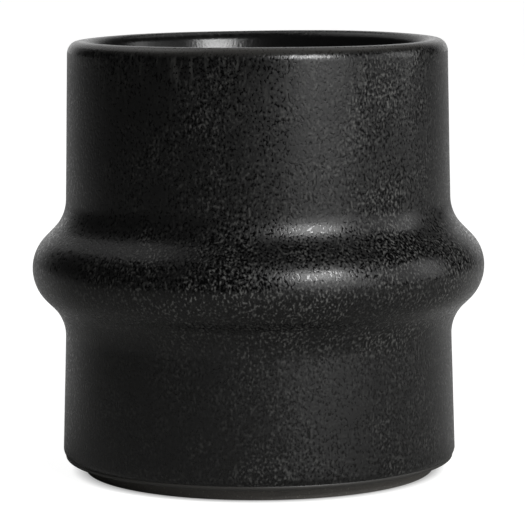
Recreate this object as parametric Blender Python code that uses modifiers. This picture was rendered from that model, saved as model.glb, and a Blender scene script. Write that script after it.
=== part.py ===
"""Handleless stoneware mug with one soft ring round its waist, thick-walled and slip-cast.

The clay body carries three glaze coats: one over the lip and the outside, one inside, and one in the
recess under the base. The foot ring stays bare. Lengths are metres, +Z is up, and the origin is the
centre of the foot's resting face.
"""

import math

import bpy
from mathutils import Vector

# Heights of the two landmarks that a thrower would mark on a rib
RING_HEIGHT = 0.0428
RIM_ABOVE_RING = 0.0472

# Outside walls: both cones widen slightly downwards, and the lower one starts a little further in
RIM_RADIUS = 0.0393
UPPER_TAPER = 0.0009
LOWER_STEP = 0.0004
LOWER_TAPER = 0.0012

# Ring round the waist: a round crown, a short straight flank each way, and a fillet into the wall
RING_PROUD = 0.0068
RING_ROUND = 0.0089
RING_UPPER_FLANK = 0.0028
RING_LOWER_FLANK = 0.0017
RING_UPPER_FILLET = 0.0090
RING_LOWER_FILLET = 0.0090

# Lip: its crest divides the wall, so the two widths together are the wall's thickness
LIP_OUTER_WIDTH = 0.0024
LIP_OUTER_DROP = 0.0027
LIP_INNER_WIDTH = 0.0034
LIP_INNER_DROP = 0.0052

# Base and inside bottom
BASE_ROUND_WIDTH = 0.0023
BASE_ROUND_HEIGHT = 0.0020
FLOOR_THICKNESS = 0.0060
INNER_CORNER = 0.0050

# Foot ring, set in under the base and left bare
FOOT_HEIGHT = 0.0028
FOOT_WIDTH = 0.0060
FOOT_EDGE = 0.0005
RECESS_DEPTH = 0.0024

# Glaze coats: how thick they are, how far they run, and what parts them from the clay and each other
GLAZE = 0.0004
BOND_GAP = 0.0003
COAT_SEAM = 0.0003
GLAZE_UNDER_BASE = 0.0010
BARE_STRIP = 0.0012

# Facets of the turned shapes
TURN_STEPS = 40
ARC_STEP = math.radians(22.5)
AXIS_MERGE = 0.00001

HEIGHT = RING_HEIGHT + RIM_ABOVE_RING
WALL = LIP_OUTER_WIDTH + LIP_INNER_WIDTH
CLAY_DEPTH = GLAZE + BOND_GAP
FLOOR_TOP = RECESS_DEPTH + FLOOR_THICKNESS

UPPER_WALL_AT_RING = RIM_RADIUS + UPPER_TAPER
LOWER_WALL_AT_RING = UPPER_WALL_AT_RING - LOWER_STEP
BASE_RADIUS = LOWER_WALL_AT_RING + LOWER_TAPER
CREST_RADIUS = RIM_RADIUS - LIP_OUTER_WIDTH
BASE_FLAT_RADIUS = BASE_RADIUS - BASE_ROUND_WIDTH
COAT_END_RADIUS = BASE_FLAT_RADIUS - GLAZE_UNDER_BASE
FOOT_RADIUS = COAT_END_RADIUS - BARE_STRIP
FOOT_INNER_RADIUS = FOOT_RADIUS - FOOT_WIDTH

UPPER_WALL_RUN = RIM_ABOVE_RING - LIP_OUTER_DROP
LOWER_WALL_RUN = RING_HEIGHT - FOOT_HEIGHT - BASE_ROUND_HEIGHT
UPPER_SLOPE = -UPPER_TAPER / UPPER_WALL_RUN
LOWER_SLOPE = -LOWER_TAPER / LOWER_WALL_RUN
RING_CENTRE = Vector((UPPER_WALL_AT_RING + RING_PROUD - RING_ROUND, RING_HEIGHT))


def arc(centre, half_width, half_height, start, end):
    """Points (radius, height) of a round or elliptical arc, both ends included."""
    steps = max(1, math.ceil(abs(end - start) / ARC_STEP))
    angles = [start + (end - start) * step / steps for step in range(steps + 1)]
    return [centre + Vector((half_width * math.cos(a), half_height * math.sin(a))) for a in angles]


def fillet_centre(wall_at_ring, slope, flank, fillet, side):
    """Centre of the hollow round between a wall and the ring's flank, above (side 1) or below (side -1)."""
    off_axis = wall_at_ring + fillet * math.hypot(1, slope) - RING_CENTRE.x
    reach = math.hypot(RING_ROUND + fillet, flank)
    square = slope**2 + 1
    root = math.sqrt((slope * off_axis) ** 2 - square * (off_axis**2 - reach**2))
    rise = (side * root - slope * off_axis) / square
    return RING_CENTRE + Vector((off_axis + slope * rise, rise))


UPPER_FILLET_CENTRE = fillet_centre(UPPER_WALL_AT_RING, UPPER_SLOPE, RING_UPPER_FLANK, RING_UPPER_FILLET, 1)
LOWER_FILLET_CENTRE = fillet_centre(LOWER_WALL_AT_RING, LOWER_SLOPE, RING_LOWER_FLANK, RING_LOWER_FILLET, -1)


def waist(depth):
    """The ring and its two fillets from top to bottom, on a surface this deep inside the finished outside."""
    to_upper = UPPER_FILLET_CENTRE - RING_CENTRE
    to_lower = LOWER_FILLET_CENTRE - RING_CENTRE
    upper_swing = math.atan2(RING_UPPER_FLANK, RING_ROUND + RING_UPPER_FILLET)
    lower_swing = math.atan2(RING_LOWER_FLANK, RING_ROUND + RING_LOWER_FILLET)
    ring_top = math.atan2(to_upper.y, to_upper.x) - upper_swing
    ring_bottom = math.atan2(to_lower.y, to_lower.x) + lower_swing
    upper_wall_side = math.pi - math.atan(UPPER_SLOPE)
    lower_wall_side = math.pi - math.atan(LOWER_SLOPE)
    upper_round = RING_UPPER_FILLET + depth
    lower_round = RING_LOWER_FILLET + depth
    ring_round = RING_ROUND - depth
    upper = arc(UPPER_FILLET_CENTRE, upper_round, upper_round, upper_wall_side, ring_top + math.pi)
    ring_above = arc(RING_CENTRE, ring_round, ring_round, ring_top, 0)
    ring_below = arc(RING_CENTRE, ring_round, ring_round, 0, ring_bottom)
    lower = arc(LOWER_FILLET_CENTRE, lower_round, lower_round, ring_bottom + math.pi, lower_wall_side)
    return upper + ring_above + ring_below[1:] + lower


def outside(depth):
    """From the foot of the inner lip over the crest and down to the base's flat, this deep in the wall."""
    inner_lip_centre = Vector((CREST_RADIUS, HEIGHT - LIP_INNER_DROP))
    outer_lip_centre = Vector((CREST_RADIUS, HEIGHT - LIP_OUTER_DROP))
    base_centre = Vector((BASE_FLAT_RADIUS, FOOT_HEIGHT + BASE_ROUND_HEIGHT))
    inner_lip = arc(
        inner_lip_centre, LIP_INNER_WIDTH - depth, LIP_INNER_DROP - depth, math.pi, math.pi / 2
    )
    outer_lip = arc(outer_lip_centre, LIP_OUTER_WIDTH - depth, LIP_OUTER_DROP - depth, math.pi / 2, 0)
    base = arc(base_centre, BASE_ROUND_WIDTH - depth, BASE_ROUND_HEIGHT - depth, 0, -math.pi / 2)
    return inner_lip + outer_lip[1:] + waist(depth) + base


def inside(depth):
    """From the middle of the floor up to the coats' seam under the inner lip, this deep behind the inside."""
    corner_height = FLOOR_TOP + INNER_CORNER
    wall_radius = LOWER_WALL_AT_RING + LOWER_SLOPE * (corner_height - RING_HEIGHT) - WALL
    corner_centre = Vector((wall_radius - INNER_CORNER, corner_height))
    corner_round = INNER_CORNER + depth
    corner = arc(corner_centre, corner_round, corner_round, -math.pi / 2, 0)
    seam = Vector((CREST_RADIUS - LIP_INNER_WIDTH + depth, HEIGHT - LIP_INNER_DROP - COAT_SEAM))
    return [Vector((0, FLOOR_TOP - depth))] + corner + waist(WALL - depth)[::-1] + [seam]


def foot():
    """The bare foot ring and the recess inside it, from the foot's outer wall to the axis."""
    outer_edge_centre = Vector((FOOT_RADIUS - FOOT_EDGE, FOOT_EDGE))
    inner_edge_centre = Vector((FOOT_INNER_RADIUS + FOOT_EDGE, FOOT_EDGE))
    top = Vector((FOOT_RADIUS, FOOT_HEIGHT + CLAY_DEPTH))
    outer_edge = arc(outer_edge_centre, FOOT_EDGE, FOOT_EDGE, 0, -math.pi / 2)
    inner_edge = arc(inner_edge_centre, FOOT_EDGE, FOOT_EDGE, -math.pi / 2, -math.pi)
    recess_height = RECESS_DEPTH + CLAY_DEPTH
    recess = [Vector((FOOT_INNER_RADIUS, recess_height)), Vector((0, recess_height))]
    return [top] + outer_edge + inner_edge + recess


def finish(name, colour, roughness):
    """A plain fired surface."""
    material = bpy.data.materials.new(name)
    material.use_nodes = True
    shader = material.node_tree.nodes["Principled BSDF"]
    shader.inputs["Base Color"].default_value = (*colour, 1)
    shader.inputs["Metallic"].default_value = 0
    shader.inputs["Roughness"].default_value = roughness
    material.diffuse_color = (*colour, 1)
    return material


def turned(name, profile, closed, material):
    """A solid of revolution about Z from a profile that keeps its material on its right-hand side."""
    count = len(profile)
    edges = [(i, i + 1) for i in range(count - 1)]
    if closed:
        edges.append((count - 1, 0))
    mesh = bpy.data.meshes.new(name)
    mesh.from_pydata([(point.x, 0, point.y) for point in profile], edges, [])
    mesh.materials.append(material)
    piece = bpy.data.objects.new(name, mesh)
    mug_pieces.objects.link(piece)
    screw = piece.modifiers.new("turned", "SCREW")
    screw.axis = "Z"
    screw.angle = 2 * math.pi
    screw.steps = TURN_STEPS
    screw.render_steps = TURN_STEPS
    screw.use_merge_vertices = True
    screw.merge_threshold = AXIS_MERGE
    screw.use_smooth_shade = True
    return piece


for existing in list(bpy.data.objects):
    bpy.data.objects.remove(existing)

mug_pieces = bpy.data.collections.new("handleless_mug")
bpy.context.scene.collection.children.link(mug_pieces)

charcoal_clay = finish("charcoal stoneware, bare", (0.030, 0.028, 0.026), 0.85)
black_glaze = finish("black satin glaze", (0.009, 0.009, 0.009), 0.45)
liner_finish = finish("black liner glaze", (0.007, 0.007, 0.007), 0.38)

# The cast body: inside, lip, outside, foot ring and recess in one piece of clay
turned("stoneware_body", inside(CLAY_DEPTH) + outside(CLAY_DEPTH) + foot(), False, charcoal_clay)

# The outside coat runs over the lip and in under the base, and stops short of the foot
coat_skin = outside(0) + [Vector((COAT_END_RADIUS, FOOT_HEIGHT))]
coat_back = outside(GLAZE) + [Vector((COAT_END_RADIUS, FOOT_HEIGHT + GLAZE))]
turned("outer_glaze", coat_skin + coat_back[::-1], True, black_glaze)

# The liner covers the floor and the inside wall up to the seam under the lip
turned("liner_glaze", inside(0) + inside(GLAZE)[::-1], False, liner_finish)

# The recess inside the foot ring has a coat of its own, with a bare strip left round it
recess_coat_radius = FOOT_INNER_RADIUS - BARE_STRIP
recess_coat = [
    Vector((0, RECESS_DEPTH + GLAZE)),
    Vector((recess_coat_radius, RECESS_DEPTH + GLAZE)),
    Vector((recess_coat_radius, RECESS_DEPTH)),
    Vector((0, RECESS_DEPTH)),
]
turned("base_glaze", recess_coat, False, black_glaze)
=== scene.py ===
import math

import bpy
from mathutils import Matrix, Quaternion, Vector, noise


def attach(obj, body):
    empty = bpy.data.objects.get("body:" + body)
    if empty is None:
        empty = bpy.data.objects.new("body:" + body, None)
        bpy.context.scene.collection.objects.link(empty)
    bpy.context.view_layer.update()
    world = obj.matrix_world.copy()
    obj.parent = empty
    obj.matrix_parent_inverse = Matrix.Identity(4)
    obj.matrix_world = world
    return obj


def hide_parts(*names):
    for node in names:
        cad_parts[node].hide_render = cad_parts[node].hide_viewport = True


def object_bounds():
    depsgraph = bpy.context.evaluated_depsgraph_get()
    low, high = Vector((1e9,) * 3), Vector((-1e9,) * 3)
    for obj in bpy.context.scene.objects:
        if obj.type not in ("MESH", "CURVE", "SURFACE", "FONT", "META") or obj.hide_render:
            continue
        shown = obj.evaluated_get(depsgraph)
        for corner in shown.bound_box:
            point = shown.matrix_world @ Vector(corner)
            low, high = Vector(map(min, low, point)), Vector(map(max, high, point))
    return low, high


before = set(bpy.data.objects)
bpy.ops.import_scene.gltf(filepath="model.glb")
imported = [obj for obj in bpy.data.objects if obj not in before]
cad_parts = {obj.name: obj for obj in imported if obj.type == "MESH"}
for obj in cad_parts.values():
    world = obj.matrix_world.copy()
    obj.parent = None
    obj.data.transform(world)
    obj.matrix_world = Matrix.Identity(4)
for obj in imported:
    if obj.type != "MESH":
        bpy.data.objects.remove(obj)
cad_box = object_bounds()
scene = bpy.context.scene
scene.view_settings.view_transform = "Standard"

# Stoneware body
# One slip casting of charcoal stoneware, turned clean at the foot and fired twice. Glaze covers nearly
# all of it: only the foot ring and a narrow strip on either side of it stay bare.
mm = 0.001
mug_height = cad_box[1][2]
ring_reach = cad_box[1][0]
ring_height = 42.8 * mm
ring_proud = 6.8 * mm
ring_round = 8.9 * mm
ring_upper_flank = 2.8 * mm
ring_lower_flank = 1.7 * mm
ring_upper_fillet = 9.0 * mm
ring_lower_fillet = 9.0 * mm
upper_taper = 0.9 * mm
lower_step = 0.4 * mm
lower_taper = 1.2 * mm
lip_outer_width = 2.4 * mm
lip_outer_drop = 2.7 * mm
lip_inner_width = 3.4 * mm
lip_inner_drop = 5.2 * mm
lip_bevel = math.radians(16.5)
bevel_start_share = 0.15
base_round_width = 2.3 * mm
base_round_height = 2.0 * mm
floor_thickness = 6.0 * mm
inner_corner = 5.0 * mm
foot_height = 2.8 * mm
foot_width = 6.0 * mm
foot_edge = 0.5 * mm
recess_depth = 2.4 * mm
coat_thickness = 0.7 * mm
glaze_under_base = 1.0 * mm
bare_strip = 1.2 * mm
turn_steps = 256
arc_step = math.radians(5)
wall_step = 2.0 * mm
sharp_edge = math.radians(50)

wall = lip_outer_width + lip_inner_width
upper_wall_at_ring = ring_reach - ring_proud
lower_wall_at_ring = upper_wall_at_ring - lower_step
rim_radius = upper_wall_at_ring - upper_taper
crest_radius = rim_radius - lip_outer_width
seam_level = mug_height - lip_inner_drop
bevel_run = lip_inner_drop * math.tan(lip_bevel)
lip_inner_round = (lip_inner_width - bevel_run) * math.cos(lip_bevel) / (1 - math.sin(lip_bevel))
base_flat_radius = lower_wall_at_ring + lower_taper - base_round_width
coat_end_radius = base_flat_radius - glaze_under_base
foot_radius = coat_end_radius - bare_strip
foot_inner_radius = foot_radius - foot_width
floor_top = recess_depth + floor_thickness
upper_slope = -upper_taper / (mug_height - lip_outer_drop - ring_height)
lower_slope = -lower_taper / (ring_height - foot_height - base_round_height)
ring_centre = Vector((upper_wall_at_ring + ring_proud - ring_round, ring_height))


def arc(centre, half_width, half_height, start, end):
    """Points (radius, height) of a round or elliptical arc, both ends included."""
    steps = max(2, math.ceil(abs(end - start) / arc_step))
    angles = [start + (end - start) * step / steps for step in range(steps + 1)]
    return [centre + Vector((half_width * math.cos(a), half_height * math.sin(a))) for a in angles]


def fillet_centre(wall_at_ring, slope, flank, fillet, side):
    """Centre of the hollow round between a wall and the ring's flank, above (side 1) or below (side -1)."""
    off_axis = wall_at_ring + fillet * math.hypot(1, slope) - ring_centre.x
    reach = math.hypot(ring_round + fillet, flank)
    square = slope**2 + 1
    root = math.sqrt((slope * off_axis) ** 2 - square * (off_axis**2 - reach**2))
    rise = (side * root - slope * off_axis) / square
    return ring_centre + Vector((off_axis + slope * rise, rise))


def waist(depth):
    """The ring and its two fillets from top to bottom, this deep inside the finished outside."""
    upper_centre = fillet_centre(upper_wall_at_ring, upper_slope, ring_upper_flank, ring_upper_fillet, 1)
    lower_centre = fillet_centre(lower_wall_at_ring, lower_slope, ring_lower_flank, ring_lower_fillet, -1)
    to_upper = upper_centre - ring_centre
    to_lower = lower_centre - ring_centre
    upper_swing = math.atan2(ring_upper_flank, ring_round + ring_upper_fillet)
    lower_swing = math.atan2(ring_lower_flank, ring_round + ring_lower_fillet)
    ring_top = math.atan2(to_upper.y, to_upper.x) - upper_swing
    ring_bottom = math.atan2(to_lower.y, to_lower.x) + lower_swing
    upper_round = ring_upper_fillet + depth
    lower_round = ring_lower_fillet + depth
    middle_round = ring_round - depth
    upper_wall_side = math.pi - math.atan(upper_slope)
    lower_wall_side = math.pi - math.atan(lower_slope)
    upper = arc(upper_centre, upper_round, upper_round, upper_wall_side, ring_top + math.pi)
    middle = arc(ring_centre, middle_round, middle_round, ring_top, ring_bottom)
    lower = arc(lower_centre, lower_round, lower_round, ring_bottom + math.pi, lower_wall_side)
    return upper + middle + lower


def outside(depth):
    """From low on the lip's bevel over the crest and down to the base's flat, this deep in the wall."""
    inner_centre = Vector((crest_radius, mug_height - lip_inner_round))
    inner_round = lip_inner_round - depth
    lip_foot = Vector((crest_radius - lip_inner_width + depth, seam_level))
    outer_centre = Vector((crest_radius, mug_height - lip_outer_drop))
    base_centre = Vector((base_flat_radius, foot_height + base_round_height))
    crest = arc(inner_centre, inner_round, inner_round, math.pi - lip_bevel, math.pi / 2)
    bevel_start = lip_foot.lerp(crest[0], bevel_start_share)
    outer_lip = arc(outer_centre, lip_outer_width - depth, lip_outer_drop - depth, math.pi / 2, 0)
    base = arc(base_centre, base_round_width - depth, base_round_height - depth, 0, -math.pi / 2)
    return [bevel_start] + crest + outer_lip[1:] + waist(depth) + base


def inside(depth):
    """From the middle of the floor up to the ring's upper fillet, this deep behind the inside."""
    corner_height = floor_top + inner_corner
    wall_radius = lower_wall_at_ring + lower_slope * (corner_height - ring_height) - wall
    corner_centre = Vector((wall_radius - inner_corner, corner_height))
    corner_round = inner_corner + depth
    corner = arc(corner_centre, corner_round, corner_round, -math.pi / 2, 0)
    return [Vector((0, floor_top - depth))] + corner + waist(wall - depth)[::-1]


def foot():
    """The bare foot ring and the recess inside it, from the foot's outer wall to the axis."""
    outer_edge_centre = Vector((foot_radius - foot_edge, foot_edge))
    inner_edge_centre = Vector((foot_inner_radius + foot_edge, foot_edge))
    top = Vector((foot_radius, foot_height + coat_thickness))
    outer_edge = arc(outer_edge_centre, foot_edge, foot_edge, 0, -math.pi / 2)
    inner_edge = arc(inner_edge_centre, foot_edge, foot_edge, -math.pi / 2, -math.pi)
    recess_height = recess_depth + coat_thickness
    recess = [Vector((foot_inner_radius, recess_height)), Vector((0, recess_height))]
    return [top] + outer_edge + inner_edge + recess


def divided(path):
    """The same path with its long straight runs cut into short ones."""
    points = path[:1]
    for start, end in zip(path, path[1:]):
        cuts = max(1, math.ceil((end - start).length / wall_step))
        points += [start.lerp(end, cut / cuts) for cut in range(1, cuts + 1)]
    return points


# What the kiln does to the drawing. Lobes are given as their number in a turn, their height and their start.
lean = 0.0040
firm_share = 0.4
wave_length = 11 * mm
wave_height = 0.04 * mm
oval_lobes = [(2, 0.10 * mm, 2.271), (3, 0.05 * mm, 3.571)]
rim_lobes = [(2, 0.10 * mm, -0.529), (5, 0.04 * mm, 2.871)]
rim_sag = 0.07 * mm
rim_fade = 4


def stray(lobes, turn):
    """How far a line strays from true at this turn."""
    return sum(height * math.sin(count * turn + start) for count, height, start in lobes)


def fired(point, turn):
    """Where a point of the drawing ends up: the kiln leaves the walls a little out of round and wavy, and
    the rim a little off level. The foot stays flat."""
    share = point.y / mug_height
    held = min(1, share / firm_share)
    spot = Vector((point.x * math.cos(turn), point.x * math.sin(turn), point.y))
    wave = wave_height * noise.noise(spot / wave_length)
    swell = 1 + (stray(oval_lobes, turn) * share + wave * held) / rim_radius
    level = stray(rim_lobes, turn) - rim_sag
    lift = lean * spot.x * held + level * share**rim_fade
    return (spot.x * swell, spot.y * swell, spot.z + lift)


def turned(name, outline, material):
    """A closed skin turned about Z from outline(turn), a path with its solid on the right-hand side.
    A path that starts on the axis also ends there, and any other closes on itself."""
    turns = [2 * math.pi * step / turn_steps for step in range(turn_steps)]
    outlines = [outline(turn) for turn in turns]
    count = len(outlines[0])
    points = []
    rings = []
    for i in range(count):
        ring = turns if outlines[0][i].x else turns[:1]
        rings.append(range(len(points), len(points) + len(ring)))
        points += [fired(outlines[j][i], turn) for j, turn in enumerate(ring)]
    spans = list(zip(rings, rings[1:]))
    if len(rings[0]) > 1:
        spans.append((rings[-1], rings[0]))
    faces = []
    for here, there in spans:
        for j in range(turn_steps):
            k = (j + 1) % turn_steps
            corners = (
                here[j % len(here)],
                there[j % len(there)],
                there[k % len(there)],
                here[k % len(here)],
            )
            faces.append(list(dict.fromkeys(corners)))
    mesh = bpy.data.meshes.new(name)
    mesh.from_pydata(points, [], faces)
    mesh.shade_smooth()
    mesh.set_sharp_from_angle(angle=sharp_edge)
    mesh.materials.append(material)
    piece = bpy.data.objects.new(name, mesh)
    scene.collection.objects.link(piece)
    return piece


def linear(hex_colour):
    """An sRGB hex colour as the linear red, green, blue and alpha that a socket takes."""
    shares = [int(hex_colour[i : i + 2], 16) / 255 for i in (1, 3, 5)]
    return [c / 12.92 if c <= 0.04045 else ((c + 0.055) / 1.055) ** 2.4 for c in shares] + [1]


def empty_material(name):
    """A material with no nodes yet."""
    material = bpy.data.materials.new(name)
    material.use_nodes = True
    material.node_tree.nodes.clear()
    return material


def add(tree, kind, inputs, **settings):
    """A node with its settings. An input takes a value, a socket, or a node for its first output."""
    node = tree.nodes.new("ShaderNode" + kind)
    for name, value in settings.items():
        setattr(node, name, value)
    sockets = {socket.name: socket for socket in node.inputs if socket.enabled}
    for name, value in inputs.items():
        socket = node.inputs[name] if isinstance(name, int) else sockets[name]
        if isinstance(value, bpy.types.Node):
            value = next(output for output in value.outputs if output.enabled)
        if isinstance(value, bpy.types.NodeSocket):
            tree.links.new(value, socket)
        else:
            socket.default_value = value
    return node


# Unglazed charcoal stoneware, slip-cast and turned at the foot: matt and a little gritty, with paler grog
# and the fine rings of the turning tool. Blender's wave texture takes 20 radians to a unit.
grit = 0.25 * mm
grog = 0.8 * mm
grog_core = 0.10
grog_edge = 0.22
tool_mark = 0.6 * mm
tool_mark_scale = math.tau / 20 / tool_mark
tool_wobble = 0.6
tool_mark_share = 0.5
clay_relief = 0.06 * mm
clay_dark = linear("#555351")
clay_pale = linear("#7b7873")
grog_pale = linear("#8c8882")
clay_roughness = 0.85
clay_ior = 1.5
clay = empty_material("unglazed charcoal stoneware")
tree = clay.node_tree
place = add(tree, "TexCoord", {}).outputs["Object"]
grains = add(tree, "TexNoise", {"Vector": place, "Scale": 1 / grit, "Detail": 3})
grog_cells = add(tree, "TexVoronoi", {"Vector": place, "Scale": 1 / grog})
grog_specks = add(
    tree,
    "MapRange",
    {"Value": grog_cells, "From Min": grog_core, "From Max": grog_edge, "To Min": 1, "To Max": 0},
)
tool_rings = add(
    tree,
    "TexWave",
    {"Vector": place, "Scale": tool_mark_scale, "Distortion": tool_wobble, "Detail": 1},
    wave_type="RINGS",
    rings_direction="Z",
).outputs["Fac"]
body_colour = add(
    tree,
    "Mix",
    {"Factor": grains, "A": clay_dark, "B": clay_pale},
    data_type="RGBA",
)
clay_colour = add(
    tree,
    "Mix",
    {"Factor": grog_specks, "A": body_colour, "B": grog_pale},
    data_type="RGBA",
)
ridges = add(tree, "Math", {0: tool_rings, 1: tool_mark_share, 2: grains}, operation="MULTIPLY_ADD")
clay_bump = add(tree, "Bump", {"Height": ridges, "Distance": clay_relief, "Strength": 1})
clay_surface = add(
    tree,
    "BsdfPrincipled",
    {"Base Color": clay_colour, "Roughness": clay_roughness, "IOR": clay_ior, "Normal": clay_bump},
)
add(tree, "OutputMaterial", {"Surface": clay_surface})

clay_lip = Vector((crest_radius - lip_inner_width + coat_thickness, seam_level))
clay_outline = divided(inside(coat_thickness) + [clay_lip] + outside(coat_thickness) + foot())
body = turned("stoneware_body_clay", lambda turn: clay_outline, clay)
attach(body, "root")
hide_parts("stoneware_body")

# Outer glaze coat
# A satin black glaze, dipped on over the biscuit ware and melted in the second firing. It wraps the lip
# and the whole outside, gathered to a roll at the bottom as it ran, and was wiped back under the base so
# that the foot would not stick to the shelf.
coat_air = 0.02 * mm
coat_depth = coat_thickness - coat_air
edge_bead = 0.35 * mm
seam_drop = 0.4 * mm
seam_lobes = [(2, 0.18 * mm, 1.0), (9, 0.10 * mm, 0.3)]
wiped_lobes = [(3, 0.20 * mm, 0.5), (7, 0.14 * mm, 2.0), (19, 0.06 * mm, 0)]
roll_round = 0.60 * mm
roll_start = math.radians(28)
roll_out = 1.25 * mm
roll_rise = 0.45 * mm
roll_centre = Vector((base_flat_radius + roll_out, foot_height + roll_rise))
roll_join = roll_centre.y + roll_round * math.sin(roll_start)

base_roll = arc(roll_centre, roll_round, roll_round, roll_start, -math.pi / 2)
coat_skin = divided([point for point in outside(0) if point.y > roll_join] + base_roll)
coat_back = divided(outside(coat_depth))[::-1]


def seam(turn):
    """Height of the line inside the lip where the outer coat laps over the liner."""
    return seam_level - seam_drop + stray(seam_lobes, turn)


def outer_coat(turn):
    """The coat's outline: rolled edge at the seam, skin, wiped edge under the base, and back."""
    lap_centre = Vector((crest_radius - lip_inner_width + edge_bead, seam(turn) + edge_bead))
    lap = arc(lap_centre, edge_bead, edge_bead, -math.pi / 2, -math.pi)
    end_radius = coat_end_radius + stray(wiped_lobes, turn)
    end_centre = Vector((end_radius + edge_bead, foot_height + edge_bead))
    end = arc(end_centre, edge_bead, edge_bead, -math.pi / 2, -math.pi)
    end_back = Vector((end_radius, foot_height + coat_depth))
    lap_back = Vector((crest_radius - lip_inner_width + coat_depth, seam(turn)))
    return lap + coat_skin + end + [end_back] + coat_back + [lap_back]


# Satin black reactive glaze: fine crystals give the black a waxy, half-matt skin, flecked with paler ones.
# Where they melted away it is dotted with glossy black specks, which look black in the shade and flash in
# a highlight. Under the lip faint pale runs hang straight down.
glaze = empty_material("satin black reactive glaze")
tree = glaze.node_tree
place = add(tree, "TexCoord", {}).outputs["Object"]
axes = add(tree, "SeparateXYZ", {"Vector": place})
across = axes.outputs["X"]
height = axes.outputs["Z"]
in_plan = add(tree, "VectorMath", {0: place, 1: (1, 1, 0)}, operation="MULTIPLY")
off_axis = add(tree, "VectorMath", {0: in_plan}, operation="LENGTH").outputs["Value"]

# Specks and flecks come in drifts, thickest round the ring. Across the mug they also thin out towards the
# shaded left and thicken towards the lit right, which is painted shade and light; on the lower wall this
# side pull is weaker.
drift = 12 * mm
drift_sparse = 0.22
drift_dense = 0.78
drift_middle = ring_height - 1 * mm
ring_core = 8 * mm
ring_edge = 14 * mm
ring_drift = 0.18
left_reach = -35 * mm
left_painted_shade = -0.17
right_reach = 25 * mm
right_painted_light = 0.08
lower_wall_top = ring_height - 14 * mm
upper_start = ring_height - 2 * mm
low_side_share = 0.25
ring_level = add(tree, "Math", {0: height, 1: drift_middle}, operation="SUBTRACT")
off_ring = add(tree, "Math", {0: ring_level}, operation="ABSOLUTE")
ring_pull = add(
    tree,
    "MapRange",
    {"Value": off_ring, "From Min": ring_core, "From Max": ring_edge, "To Min": ring_drift, "To Max": 0},
)
# Side pull, painted shade and light: fewer pale flecks on the shaded left and more on the lit right
painted_side_light = add(
    tree,
    "MapRange",
    {
        "Value": across,
        "From Min": left_reach,
        "From Max": right_reach,
        "To Min": left_painted_shade,
        "To Max": right_painted_light,
    },
)
upper_part = add(tree, "MapRange", {"Value": height, "From Min": lower_wall_top, "From Max": upper_start})
side_share = add(tree, "MapRange", {"Value": upper_part, "To Min": low_side_share, "To Max": 1})
pull = add(tree, "Math", {0: painted_side_light, 1: side_share, 2: ring_pull}, operation="MULTIPLY_ADD")
drifts = add(tree, "TexNoise", {"Vector": place, "Scale": 1 / drift, "Detail": 3})
pulled = add(tree, "Math", {0: drifts, 1: pull}, operation="ADD")
crowding = add(tree, "MapRange", {"Value": pulled, "From Min": drift_sparse, "From Max": drift_dense})

# The coat is thin, and breaks greyer, on the crest of the lip and on the roll at the bottom. Inside the
# lip the liner washed over it, and it is plain black. None of these has drifts.
wash_inner = crest_radius - 2.4 * mm
wash_outer = crest_radius - 1.4 * mm
break_radius = crest_radius + 0.9 * mm
break_core = 0.6 * mm
break_edge = 1.3 * mm
roll_blend = 0.1 * mm
past_lip = add(tree, "MapRange", {"Value": off_axis, "From Min": wash_inner, "From Max": wash_outer})
past_crest = add(tree, "Math", {0: off_axis, 1: break_radius}, operation="SUBTRACT")
off_crest = add(tree, "Math", {0: past_crest}, operation="ABSOLUTE")
thin_crest = add(tree, "MapRange", {"Value": off_crest, "From Min": break_edge, "From Max": break_core})
thin_base = add(
    tree,
    "MapRange",
    {"Value": height, "From Min": roll_join + roll_blend, "From Max": roll_join - roll_blend},
)
thin = add(tree, "Math", {0: thin_crest, 1: thin_base}, operation="MAXIMUM")
full = add(tree, "Math", {0: past_lip, 1: thin}, operation="SUBTRACT", use_clamp=True)
# The drifts here also carry the painted side light and shade
drifts_and_side_light = add(tree, "Math", {0: crowding, 1: full}, operation="MULTIPLY")

# One melt pattern, drawn out a little down the wall: black specks in its lows and pale flecks in its highs
speck = 0.48 * mm
flow_stretch = 0.72
speck_sparse = 0.355
speck_dense = 0.44
speck_blend = 0.03
fleck_start = 0.55
fleck_full = 0.70
fleck_gather = 1.5
low_fleck_share = 0.78
flow = add(tree, "Mapping", {"Vector": place, "Scale": (1, 1, flow_stretch)})
melt = add(tree, "TexNoise", {"Vector": flow, "Scale": 1 / speck, "Detail": 1})
speck_level = add(tree, "MapRange", {"Value": drifts_and_side_light, "To Min": speck_sparse, "To Max": speck_dense})
melted = add(tree, "Math", {0: melt, 1: speck_level}, operation="SUBTRACT")
specks = add(tree, "MapRange", {"Value": melted, "From Min": speck_blend, "From Max": -speck_blend})
fleck_level = add(tree, "MapRange", {"Value": melt, "From Min": fleck_start, "From Max": fleck_full})
gathered = add(tree, "Math", {0: drifts_and_side_light, 1: fleck_gather}, operation="POWER")
all_flecks = add(tree, "Math", {0: fleck_level, 1: gathered}, operation="MULTIPLY")
fleck_share = add(tree, "MapRange", {"Value": upper_part, "To Min": low_fleck_share, "To Max": 1})
flecks = add(tree, "Math", {0: all_flecks, 1: fleck_share}, operation="MULTIPLY")

# Runs under the lip
run_spacing = 1.1 * mm
run_stretch = 0.20
run_start = 0.56
run_full = 0.72
run_bottom = mug_height - 16 * mm
run_top = mug_height - 5 * mm
run_strength = 0.27
hanging = add(tree, "Mapping", {"Vector": place, "Scale": (1, 1, run_stretch)})
run_noise = add(tree, "TexNoise", {"Vector": hanging, "Scale": 1 / run_spacing, "Detail": 2})
run_lines = add(tree, "MapRange", {"Value": run_noise, "From Min": run_start, "From Max": run_full})
under_lip = add(
    tree,
    "MapRange",
    {"Value": height, "From Min": run_bottom, "From Max": run_top, "To Max": run_strength},
)
run_zone = add(tree, "Math", {0: under_lip, 1: past_lip}, operation="MULTIPLY")
runs = add(tree, "Math", {0: run_lines, 1: run_zone}, operation="MULTIPLY")
crystals = add(tree, "Math", {0: flecks, 1: runs}, operation="MAXIMUM")

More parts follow.
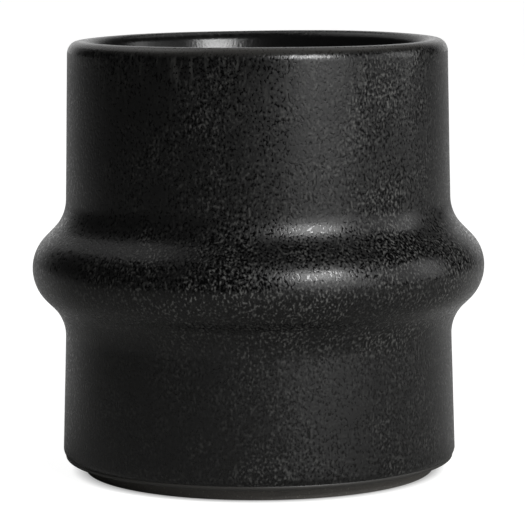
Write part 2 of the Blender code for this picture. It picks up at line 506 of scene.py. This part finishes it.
# Colour: the black ground is a trace paler on the lower wall
ground_upper = linear("#0f0f0f")
ground_lower = linear("#131313")
crystal_pale = linear("#5e5e5c")
speck_black = linear("#060606")
thin_grey = linear("#3a3937")
ground_colour = add(
    tree,
    "Mix",
    {"Factor": upper_part, "A": ground_lower, "B": ground_upper},
    data_type="RGBA",
)
skin_colour = add(
    tree,
    "Mix",
    {"Factor": crystals, "A": ground_colour, "B": crystal_pale},
    data_type="RGBA",
)
speck_colour = add(
    tree,
    "Mix",
    {"Factor": specks, "A": skin_colour, "B": speck_black},
    data_type="RGBA",
)
glaze_colour = add(
    tree,
    "Mix",
    {"Factor": thin, "A": speck_colour, "B": thin_grey},
    data_type="RGBA",
)

# Gloss: satin on the walls, smoother at the rim and inside the lip, wet in the specks, matt on the roll
satin_top = mug_height - 7 * mm
smooth_top = mug_height - 2 * mm
satin_roughness = 0.37
rim_roughness = 0.28
speck_gloss = 0.13
wash_roughness = 0.23
roll_roughness = 0.5
wash_relief_share = 0.6
glaze_relief = 0.05 * mm
glaze_ior = 1.5
skin_roughness = add(
    tree,
    "MapRange",
    {
        "Value": height,
        "From Min": satin_top,
        "From Max": smooth_top,
        "To Min": satin_roughness,
        "To Max": rim_roughness,
    },
)
speck_roughness = add(tree, "Mix", {"Factor": specks, "A": skin_roughness, "B": speck_gloss})
lip_roughness = add(tree, "Mix", {"Factor": past_lip, "A": wash_roughness, "B": speck_roughness})
glaze_roughness = add(tree, "Mix", {"Factor": thin_base, "A": lip_roughness, "B": roll_roughness})
relief_share = add(tree, "MapRange", {"Value": past_lip, "To Min": wash_relief_share, "To Max": 1})
relief = add(tree, "Math", {0: melt, 1: relief_share}, operation="MULTIPLY")
glaze_bump = add(tree, "Bump", {"Height": relief, "Distance": glaze_relief, "Strength": 1})
glaze_surface = add(
    tree,
    "BsdfPrincipled",
    {"Base Color": glaze_colour, "Roughness": glaze_roughness, "IOR": glaze_ior, "Normal": glaze_bump},
)
add(tree, "OutputMaterial", {"Surface": glaze_surface})

outer_glaze = turned("outer_glaze_coat", outer_coat, glaze)
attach(outer_glaze, "root")
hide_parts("outer_glaze")

# Liner glaze
# A black liner, poured in and swilled out before the outside was dipped. It covers the floor and the
# inside wall, and its upper edge runs in under the lap of the outer coat.
lap_gap = 0.05 * mm
liner_skin = divided(inside(0))
liner_back = divided(inside(coat_depth))[::-1]


def liner(turn):
    """The liner's outline: floor and wall skin, rounded upper edge, and back."""
    edge_radius = crest_radius - lip_inner_width
    edge_height = seam(turn) - lap_gap
    edge_centre = Vector((edge_radius + edge_bead, edge_height - edge_bead))
    edge = arc(edge_centre, edge_bead, edge_bead, math.pi, math.pi / 2)
    wall_run = divided([liner_skin[-1], edge[0]])[1:-1]
    back_top = Vector((edge_radius + coat_depth, edge_height))
    back_run = divided([back_top, liner_back[0]])[1:-1]
    return liner_skin + wall_run + edge + [back_top] + back_run + liner_back


# Black liner glaze, poured: the same black, fired smoother and wetter than the outside, with few marks
orange_peel = 1.6 * mm
peel_relief = 0.008 * mm
liner_black = linear("#030303")
liner_pale = linear("#080808")
liner_wet = 0.09
liner_dry = 0.14
liner_glaze = empty_material("smooth black liner glaze")
tree = liner_glaze.node_tree
place = add(tree, "TexCoord", {}).outputs["Object"]
peel = add(tree, "TexNoise", {"Vector": place, "Scale": 1 / orange_peel, "Detail": 2})
liner_bump = add(tree, "Bump", {"Height": peel, "Distance": peel_relief, "Strength": 1})
liner_colour = add(
    tree,
    "Mix",
    {"Factor": peel, "A": liner_black, "B": liner_pale},
    data_type="RGBA",
)
liner_roughness = add(tree, "MapRange", {"Value": peel, "To Min": liner_wet, "To Max": liner_dry})
liner_surface = add(
    tree,
    "BsdfPrincipled",
    {"Base Color": liner_colour, "Roughness": liner_roughness, "IOR": glaze_ior, "Normal": liner_bump},
)
add(tree, "OutputMaterial", {"Surface": liner_surface})

liner_coat = turned("liner_glaze_coat", liner, liner_glaze)
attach(liner_coat, "root")
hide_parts("liner_glaze")

# Base glaze
# A round patch of the satin glaze, brushed thinly into the recess under the base, so that it stays grey. It
# stops short of the foot ring, and its rim shows the brush.
recess_coat_radius = foot_inner_radius - bare_strip
brush_lobes = [(3, 0.28 * mm, 3.5), (7, 0.196 * mm, 9.0), (19, 0.084 * mm, 19.0)]
face_rings = 12


def recess_coat(turn):
    """The patch's outline: its back on the clay, its rolled rim, and the face that looks down."""
    rim = recess_coat_radius + stray(brush_lobes, turn)
    rim_centre = Vector((rim - edge_bead, recess_depth + edge_bead))
    rim_back = Vector((rim, recess_depth + coat_depth))
    rolled = arc(rim_centre, edge_bead, edge_bead, 0, -math.pi / 2)
    back = Vector((0, recess_depth + coat_depth))
    middle = Vector((0, recess_depth))
    face = [rolled[-1].lerp(middle, ring / face_rings) for ring in range(1, face_rings)]
    return [back, rim_back] + rolled + face + [middle]


base_coat = turned("base_glaze_coat", recess_coat, glaze)
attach(base_coat, "root")
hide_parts("base_glaze")

# Floor
# A pale paper sweep, lit dimly. Camera rays see it lifted to white, and mirrored rays see it partly lifted
# behind the mug, where the sweep rises. It keeps the mug's shadow, and in a ring round the foot the lift
# fades out, which paints a contact shadow. Close under the foot, where only a view from below can look, it
# glows so that the recess shows.
floor_size = 8.0
floor_gap = 0.05 * mm
shadow_inner = foot_radius - 2.5 * mm
shadow_outer = foot_radius + 3 * mm
near_reach = 0.06
near_lift = 0.955
far_reach = 0.40
behind_start = 0.1
behind_lift = 0.35
glow_outer = foot_radius - 1 * mm
glow_inner = foot_radius - 2.5 * mm
glow_strength = 0.5
paper_grey = linear("#b2b2b0")


def white_seen(tree, behind):
    """How much of the white a ray sees: all of it straight or through glass, and this much in a mirror."""
    path = add(tree, "LightPath", {})
    mirrored = add(tree, "Math", {0: path.outputs["Is Glossy Ray"], 1: behind}, operation="MULTIPLY")
    direct = add(
        tree,
        "Math",
        {0: path.outputs["Is Camera Ray"], 1: path.outputs["Is Transmission Ray"]},
        operation="MAXIMUM",
    )
    return add(tree, "Math", {0: direct, 1: mirrored}, operation="MAXIMUM")


paper = empty_material("pale paper sweep")
tree = paper.node_tree
place = add(tree, "TexCoord", {}).outputs["Object"]
distance = add(tree, "VectorMath", {0: place}, operation="LENGTH").outputs["Value"]
# Painted contact shadow: the lift to white fades to nothing in a ring round the foot
painted_contact_shadow = add(
    tree,
    "MapRange",
    {"Value": distance, "From Min": shadow_inner, "From Max": shadow_outer},
)
reach = add(
    tree,
    "MapRange",
    {"Value": distance, "From Min": near_reach, "From Max": far_reach, "To Min": near_lift, "To Max": 1},
)
lift = add(tree, "Math", {0: painted_contact_shadow, 1: reach}, operation="MULTIPLY")
direction = add(tree, "VectorMath", {0: place}, operation="NORMALIZE")
depth = add(tree, "SeparateXYZ", {"Vector": direction}).outputs["Y"]
behind = add(
    tree,
    "MapRange",
    {"Value": depth, "From Min": behind_start, "From Max": 1, "To Max": behind_lift},
)
seen = white_seen(tree, behind)
seen_lift = add(tree, "Math", {0: lift, 1: seen}, operation="MULTIPLY")
under_foot = add(
    tree,
    "MapRange",
    {"Value": distance, "From Min": glow_outer, "From Max": glow_inner, "To Max": glow_strength},
)
glow = add(tree, "Math", {0: seen_lift, 1: under_foot}, operation="MAXIMUM")
matt_paper = add(tree, "BsdfDiffuse", {"Color": paper_grey})
lifted = add(tree, "Emission", {"Strength": glow})
sheet = add(tree, "AddShader", {0: matt_paper, 1: lifted})
underside = add(tree, "NewGeometry", {}).outputs["Backfacing"]
clear = add(tree, "BsdfTransparent", {})
one_sided = add(tree, "MixShader", {0: underside, 1: sheet, 2: clear})
add(tree, "OutputMaterial", {"Surface": one_sided})

half = floor_size / 2
floor_mesh = bpy.data.meshes.new("floor")
floor_mesh.from_pydata(
    [(-half, -half, 0), (half, -half, 0), (half, half, 0), (-half, half, 0)], [], [(0, 1, 2, 3)]
)
floor_mesh.materials.append(paper)
floor = bpy.data.objects.new("floor", floor_mesh)
floor.location.z = -floor_gap
scene.collection.objects.link(floor)

# Light
# A softbox high on the right with a wide panel low beneath it, a panel and a narrow strip on the right, a
# tilted panel high behind on the left, one higher behind, and a dim studio all round. Camera rays see a
# plain white background, and mirrored rays see it where the sweep stands behind the mug.
mug_middle = Vector((0, 0, mug_height / 2))


def lamp(name, azimuth, elevation, reach, width, height, radiance, tilt=0):
    """A soft rectangular light that faces the mug, as bright as radiance says over its whole face.
    Azimuth 0 is the camera's side, and it grows towards +X. Tilt turns the light on its own stand."""
    across = reach * math.cos(math.radians(elevation))
    side = math.radians(azimuth)
    rise = reach * math.sin(math.radians(elevation))
    offset = Vector((across * math.sin(side), -across * math.cos(side), rise))
    light = bpy.data.lights.new(name, "AREA")
    light.shape = "RECTANGLE"
    light.size = width
    light.size_y = height
    light.energy = math.pi * width * height * radiance
    holder = bpy.data.objects.new(name, light)
    holder.location = mug_middle + offset
    facing = (-offset).to_track_quat("-Z", "Y") @ Quaternion((0, 0, 1), math.radians(tilt))
    holder.rotation_euler = facing.to_euler()
    holder.visible_camera = False
    scene.collection.objects.link(holder)


lamp("softbox", azimuth=32, elevation=30.5, reach=0.80, width=0.30, height=0.26, radiance=17.0)
lamp("low_panel", azimuth=38, elevation=8, reach=0.80, width=0.58, height=0.20, radiance=2.2)
lamp("side_panel", azimuth=86, elevation=17, reach=0.70, width=0.54, height=0.38, radiance=0.75)
lamp("side_strip", azimuth=97, elevation=17, reach=0.76, width=0.14, height=0.38, radiance=1.50)
lamp("back_panel", azimuth=-131, elevation=50, reach=0.90, width=1.00, height=0.42, radiance=0.47, tilt=44)
lamp("top_panel", azimuth=180, elevation=64, reach=0.90, width=1.00, height=0.46, radiance=0.50)

backdrop_edge = 0.75
backdrop_full = 0.98
studio_level = 0.02
white = (1, 1, 1, 1)
world = bpy.data.worlds.new("studio")
scene.world = world
world.use_nodes = True
tree = world.node_tree
tree.nodes.clear()
direction = add(tree, "TexCoord", {}).outputs["Generated"]
depth = add(tree, "SeparateXYZ", {"Vector": direction}).outputs["Y"]
behind = add(tree, "MapRange", {"Value": depth, "From Min": backdrop_edge, "From Max": backdrop_full})
seen = white_seen(tree, behind)
studio = add(tree, "Background", {"Color": white, "Strength": studio_level})
backdrop = add(tree, "Background", {"Color": white, "Strength": 1})
shown = add(tree, "MixShader", {0: seen, 1: studio, 2: backdrop})
add(tree, "OutputWorld", {"Surface": shown})

# Camera
# A long lens a little above the rim, tipped down a few degrees and rolled a quarter of a degree.
eye = Vector((0, -0.6463, 0.1212))
aim = Vector((0.00084, 0, 0.04328))
roll = math.radians(-0.253)
focal_length = 213.85
sensor_width = 36
view = bpy.data.cameras.new("camera")
view.lens = focal_length
view.sensor_width = sensor_width
camera = bpy.data.objects.new("camera", view)
camera.location = eye
facing = (aim - eye).to_track_quat("-Z", "Y") @ Quaternion((0, 0, 1), roll)
camera.rotation_euler = facing.to_euler()
scene.collection.objects.link(camera)
scene.camera = camera
